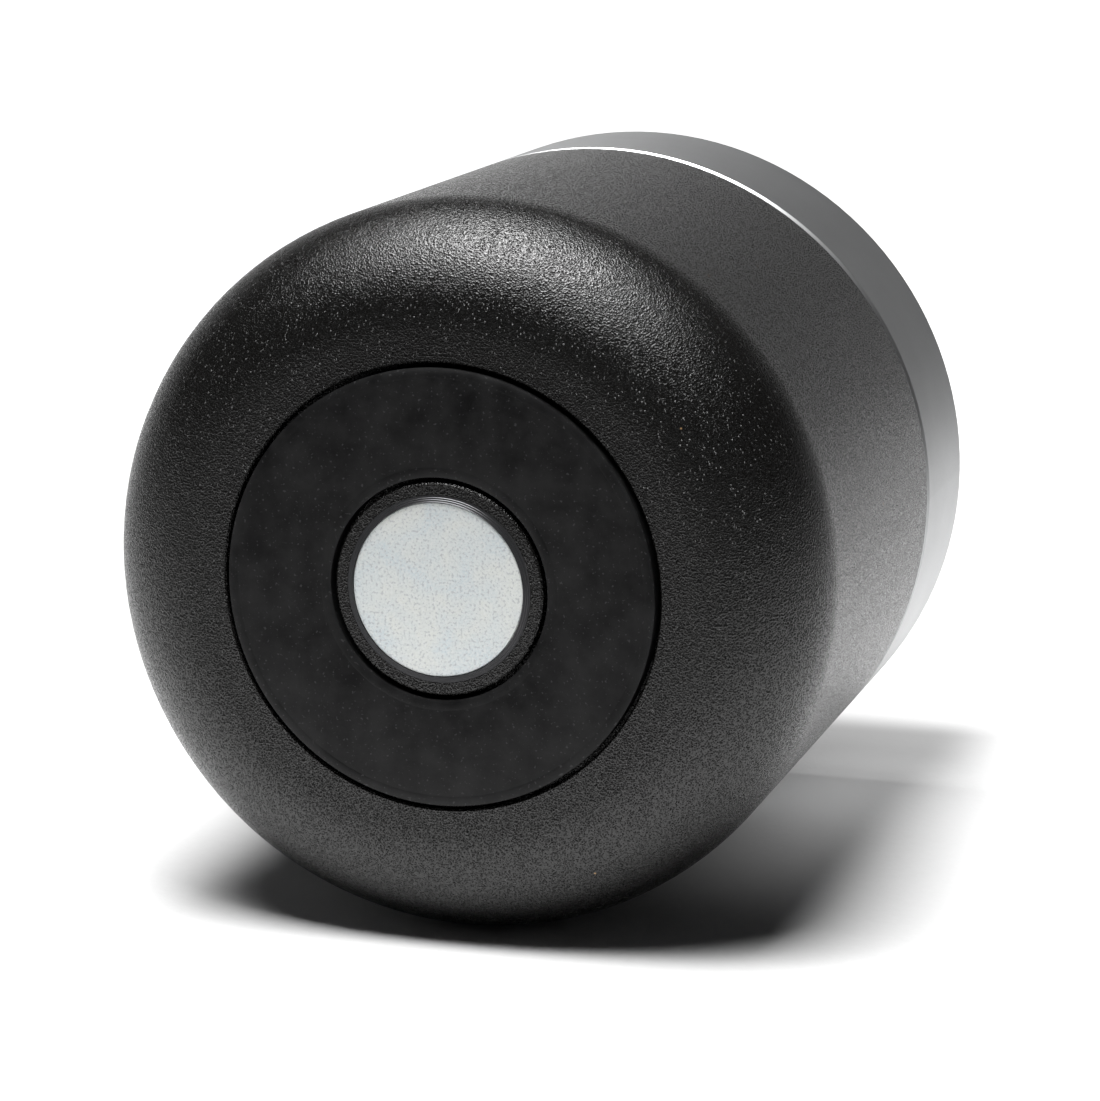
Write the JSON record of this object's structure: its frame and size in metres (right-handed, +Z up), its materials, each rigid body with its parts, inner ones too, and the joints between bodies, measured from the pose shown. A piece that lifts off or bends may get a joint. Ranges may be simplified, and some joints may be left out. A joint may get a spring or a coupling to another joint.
{
  "type": "survey prism",
  "caption": "Round magnet-mounted survey prism: black cup housing with a rubber ring and disc magnet behind, grey screw-on bezel around a corner-cube glass in front.",
  "frame": {"origin": "centre of the magnet's outer face; the rubber ring's face is level with it, and the collar's lip stands 0.12 mm ahead", "axes": "+Y along the optical axis, out of the glass; +Z up; +X to the right seen from behind"},
  "size_m": [0.064, 0.0656, 0.064],
  "materials": {
    "housing_coat": "fine-textured black powder coat",
    "pad_rubber": "smooth moulded rubber",
    "adhesive": "clear film",
    "magnet_plating": "matt zinc plating",
    "black_anodised": "turned, black anodised",
    "zinc_steel": "zinc plated",
    "blackened_steel": "black oxide",
    "seal_rubber": "moulded",
    "optical_glass": "polished",
    "cup_plastic": "moulded, matt",
    "silicone": "translucent",
    "spring_steel": "bright",
    "washer_plastic": "natural",
    "bezel_anodised": "satin grey anodised",
    "baffle_plastic": "matt black"
  },
  "bodies": {
    "housing": {"rear_housing": "housing_coat", "friction_pad": "pad_rubber", "pad_adhesive": "adhesive", "magnet": "magnet_plating", "magnet_collar": "black_anodised", "yoke_plate": "zinc_steel", "yoke_screws": "blackened_steel", "yoke_o_ring": "seal_rubber", "corner_cube_prism": "optical_glass", "prism_cup": "cup_plastic", "seat_pads": "silicone", "shock_ring": "seal_rubber", "glass_gasket": "silicone", "retaining_ring": "black_anodised", "cup_gasket": "seal_rubber", "preload_spring": "spring_steel"},
    "washer": {"slip_washer": "washer_plastic"},
    "bezel": {"bezel": "bezel_anodised", "bezel_o_ring": "seal_rubber", "baffle_ring": "baffle_plastic"}
  },
  "joints": [
    {"name": "bezel_travel", "type": "slide", "parent": "housing", "child": "washer", "axis": [0, 1, 0], "range_m": [0, 0.0032]},
    {"name": "bezel_turn", "type": "hinge", "parent": "washer", "child": "bezel", "pos_m": [0, 0.057, 0], "axis": [0, 1, 0], "range_deg": [0, 1440]}
  ],
  "couplings": [
    {"joint": "bezel_travel", "follows": "bezel_turn", "m_per_rad": 0.00012732}
  ]
}
